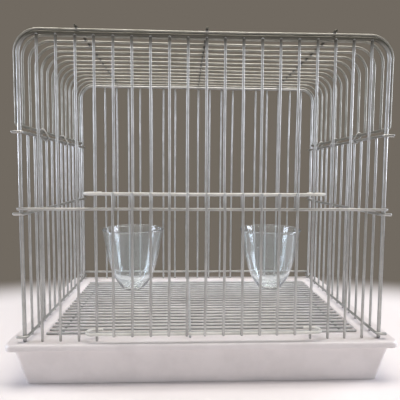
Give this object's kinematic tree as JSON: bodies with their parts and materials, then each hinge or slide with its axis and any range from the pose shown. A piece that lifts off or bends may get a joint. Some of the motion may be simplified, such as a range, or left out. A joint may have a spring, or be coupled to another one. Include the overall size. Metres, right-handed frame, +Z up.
{
  "type": "bird show cage",
  "caption": "Small wire show cage for finches or canaries: rounded roof of hoops, lift-up front door, white tray, floor grille and clear cups.",
  "frame": {"origin": "on the table under the middle of the tray", "axes": "+Z up, the door side faces -Y, +X to the right seen from the front"},
  "size_m": [0.329, 0.213, 0.2925],
  "materials": {
    "galvanised_wire": "zinc plated, semi-bright",
    "white_plastic": "satin moulded",
    "clear_plastic": "clear, polished"
  },
  "bodies": {
    "tray": {"tray": "white_plastic"},
    "cage": {"front_frame": "galvanised_wire", "front_header_bar": "galvanised_wire", "front_uprights_left": "galvanised_wire", "front_uprights_right": "galvanised_wire", "front_uprights_upper": "galvanised_wire", "left_door_guide": "galvanised_wire", "right_door_guide": "galvanised_wire", "back_frame": "galvanised_wire", "back_mid_rail": "galvanised_wire", "back_bottom_rail": "galvanised_wire", "back_uprights": "galvanised_wire", "left_top_rail": "galvanised_wire", "left_mid_rail": "galvanised_wire", "left_bottom_rail": "galvanised_wire", "left_uprights": "galvanised_wire", "left_belt_rings": "galvanised_wire", "right_top_rail": "galvanised_wire", "right_mid_rail": "galvanised_wire", "right_bottom_rail": "galvanised_wire", "right_uprights": "galvanised_wire", "right_belt_rings": "galvanised_wire", "roof_front_hoop": "galvanised_wire", "roof_back_hoop": "galvanised_wire", "roof_hoops": "galvanised_wire", "left_roof_edge_rail": "galvanised_wire", "right_roof_edge_rail": "galvanised_wire", "left_roof_rail": "galvanised_wire", "centre_roof_rail": "galvanised_wire", "right_roof_rail": "galvanised_wire"},
    "door": {"door_top_rail": "galvanised_wire", "door_bottom_rail": "galvanised_wire", "door_bars": "galvanised_wire"},
    "floor_grille": {"grille_cross_wires": "galvanised_wire", "grille_centre_wire": "galvanised_wire", "grille_side_wires": "galvanised_wire"},
    "left_cup": {"left_cup": "clear_plastic"},
    "right_cup": {"right_cup": "clear_plastic"}
  },
  "joints": [
    {"name": "cage_lift", "type": "slide", "parent": "tray", "child": "cage", "axis": [0, 0, 1], "range_m": [0, 0.12]},
    {"name": "door_slide", "type": "slide", "parent": "cage", "child": "door", "axis": [0, 0, 1], "range_m": [0, 0.1]},
    {"name": "grille_lift", "type": "slide", "parent": "tray", "child": "floor_grille", "axis": [0, 0, 1], "range_m": [0, 0.06]},
    {"name": "left_cup_lift", "type": "slide", "parent": "floor_grille", "child": "left_cup", "axis": [0, 0, 1], "range_m": [0, 0.09]},
    {"name": "right_cup_lift", "type": "slide", "parent": "floor_grille", "child": "right_cup", "axis": [0, 0, 1], "range_m": [0, 0.09]}
  ]
}
